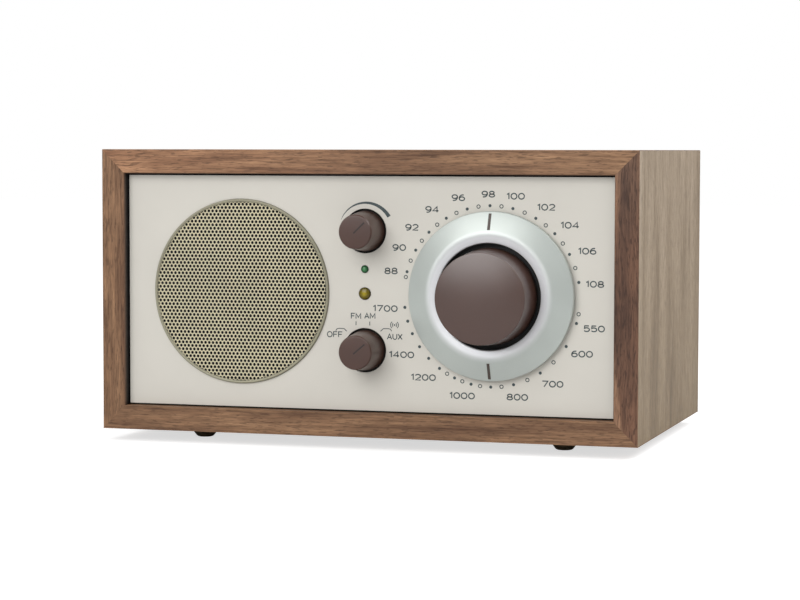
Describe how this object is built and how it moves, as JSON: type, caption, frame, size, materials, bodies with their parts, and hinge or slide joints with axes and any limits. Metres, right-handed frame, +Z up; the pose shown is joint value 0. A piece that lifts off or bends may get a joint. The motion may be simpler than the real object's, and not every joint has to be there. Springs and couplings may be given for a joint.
{
  "type": "tabletop radio",
  "caption": "Tabletop radio with a mitred wooden cabinet, round speaker grille, geared tuning dial with a large knob, and volume and mode knobs.",
  "frame": {"origin": "on the resting plane under the feet, at the middle of the overall bounding box", "axes": "+Z up; the front with the knobs faces -Y; +X is to the right seen from the front"},
  "size_m": [0.2126, 0.1518, 0.114],
  "materials": {
    "walnut_veneer": "satin oiled walnut veneer",
    "block_pine": "sawn softwood",
    "fibre_board": "raw fibreboard",
    "black_board": "black painted fibreboard",
    "faceplate_paint": "satin warm white",
    "foot_rubber": "matte",
    "surround_rubber": "matte",
    "black_plastic": "fine texture",
    "grille_paint": "satin champagne",
    "basket_paint": "satin black",
    "plated_steel": "zinc plated",
    "black_screws": "black oxide",
    "ferrite": "matte",
    "spider_cloth": "resin stiffened weave",
    "cone_paper": "pressed pulp",
    "copper_wire": "enamelled copper winding",
    "knob_plastic": "satin dark brown",
    "brass_parts": "machined",
    "dial_metal": "satin, faintly green silver",
    "die_cast": "as cast",
    "nylon": "natural",
    "vane_metal": "stamped",
    "shaft_steel": "turned",
    "green_lens": "diffused lamp lens",
    "amber_lens": "diffused lamp lens",
    "circuit_board": "solder resist",
    "capacitor_sleeve": "shrink sleeve",
    "black_aluminium": "black anodised",
    "tinned_steel": "tinned",
    "nickel_plate": "nickel",
    "core_steel": "varnished laminations"
  },
  "bodies": {
    "cabinet": {"cabinet_top": "walnut_veneer", "cabinet_bottom": "walnut_veneer", "cabinet_left_side": "walnut_veneer", "cabinet_right_side": "walnut_veneer", "corner_blocks": "block_pine", "baffle_board": "fibre_board", "faceplate": "faceplate_paint", "back_panel": "black_board", "rubber_feet": "foot_rubber", "bass_port": "black_plastic", "wood_screws": "black_screws", "speaker_grille": "grille_paint", "speaker_basket": "basket_paint", "speaker_screws": "plated_steel", "speaker_magnet": "ferrite", "speaker_yoke": "plated_steel", "speaker_surround": "surround_rubber", "speaker_spider": "spider_cloth", "drive_housing": "die_cast", "drive_screws": "plated_steel", "capacitor_frame": "plated_steel", "capacitor_stator": "vane_metal", "volume_potentiometer": "tinned_steel", "mode_switch": "tinned_steel", "shaft_nuts": "plated_steel", "power_lamp": "green_lens", "tuning_lamp": "amber_lens", "main_board": "circuit_board", "board_posts": "nylon", "smoothing_capacitors": "capacitor_sleeve", "amplifier_heatsink": "black_aluminium", "wireless_module": "tinned_steel", "audio_jacks": "black_plastic", "pairing_switch": "black_plastic", "aerial_connector": "nickel_plate", "aerial_switch": "plated_steel", "ferrite_rod": "ferrite", "ferrite_coil": "copper_wire", "rod_holders": "nylon", "transformer_core": "core_steel", "transformer_coil": "copper_wire", "mains_inlet": "black_plastic", "inlet_pins": "brass_parts"},
    "tuning_knob": {"tuning_knob": "knob_plastic", "tuning_shaft": "brass_parts"},
    "dial": {"dial_disc": "dial_metal", "dial_carrier": "die_cast", "capacitor_rotor": "vane_metal"},
    "planet_1": {"planet_gear_1": "nylon"},
    "planet_2": {"planet_gear_2": "nylon"},
    "planet_3": {"planet_gear_3": "nylon"},
    "volume_knob": {"volume_knob": "knob_plastic", "volume_shaft": "shaft_steel"},
    "mode_knob": {"mode_knob": "knob_plastic", "mode_shaft": "shaft_steel"},
    "speaker_cone": {"speaker_cone": "cone_paper", "dust_cap": "cone_paper", "voice_coil": "copper_wire"},
    "pairing_button": {"pairing_button": "black_plastic"},
    "aerial_slider": {"aerial_slider": "black_plastic"}
  },
  "joints": [
    {"name": "tuning_turn", "type": "hinge", "parent": "cabinet", "child": "tuning_knob", "pos_m": [0.0499, -0.05535, 0.0594], "axis": [0, 1, 0], "range_deg": [-410, 410]},
    {"name": "dial_turn", "type": "hinge", "parent": "cabinet", "child": "dial", "pos_m": [0.0499, -0.05535, 0.0594], "axis": [0, 1, 0], "range_deg": [-82, 82]},
    {"name": "planet_1_spin", "type": "hinge", "parent": "dial", "child": "planet_1", "pos_m": [0.0619, -0.05535, 0.0594], "axis": [0, 1, 0], "range_deg": [-220, 220]},
    {"name": "planet_2_spin", "type": "hinge", "parent": "dial", "child": "planet_2", "pos_m": [0.0439, -0.05535, 0.06979], "axis": [0, 1, 0], "range_deg": [-220, 220]},
    {"name": "planet_3_spin", "type": "hinge", "parent": "dial", "child": "planet_3", "pos_m": [0.0439, -0.05535, 0.04901], "axis": [0, 1, 0], "range_deg": [-220, 220]},
    {"name": "volume_turn", "type": "hinge", "parent": "cabinet", "child": "volume_knob", "pos_m": [0, -0.05535, 0.0832], "axis": [0, 1, 0], "range_deg": [-196, 104]},
    {"name": "mode_turn", "type": "hinge", "parent": "cabinet", "child": "mode_knob", "pos_m": [0, -0.05535, 0.0378], "axis": [0, 1, 0], "range_deg": [-102, 0]},
    {"name": "cone_travel", "type": "slide", "parent": "cabinet", "child": "speaker_cone", "axis": [0, -1, 0], "range_m": [-0.002, 0.002], "stiffness_N_per_m": 1500},
    {"name": "pairing_press", "type": "slide", "parent": "cabinet", "child": "pairing_button", "axis": [0, -1, 0], "range_m": [0, 0.0012], "stiffness_N_per_m": 300},
    {"name": "aerial_select", "type": "slide", "parent": "cabinet", "child": "aerial_slider", "axis": [1, 0, 0], "range_m": [0, 0.003]}
  ],
  "couplings": [
    {"joint": "dial_turn", "follows": "tuning_turn", "ratio": 0.2},
    {"joint": "planet_1_spin", "follows": "tuning_turn", "ratio": -0.53333},
    {"joint": "planet_2_spin", "follows": "tuning_turn", "ratio": -0.53333},
    {"joint": "planet_3_spin", "follows": "tuning_turn", "ratio": -0.53333}
  ]
}
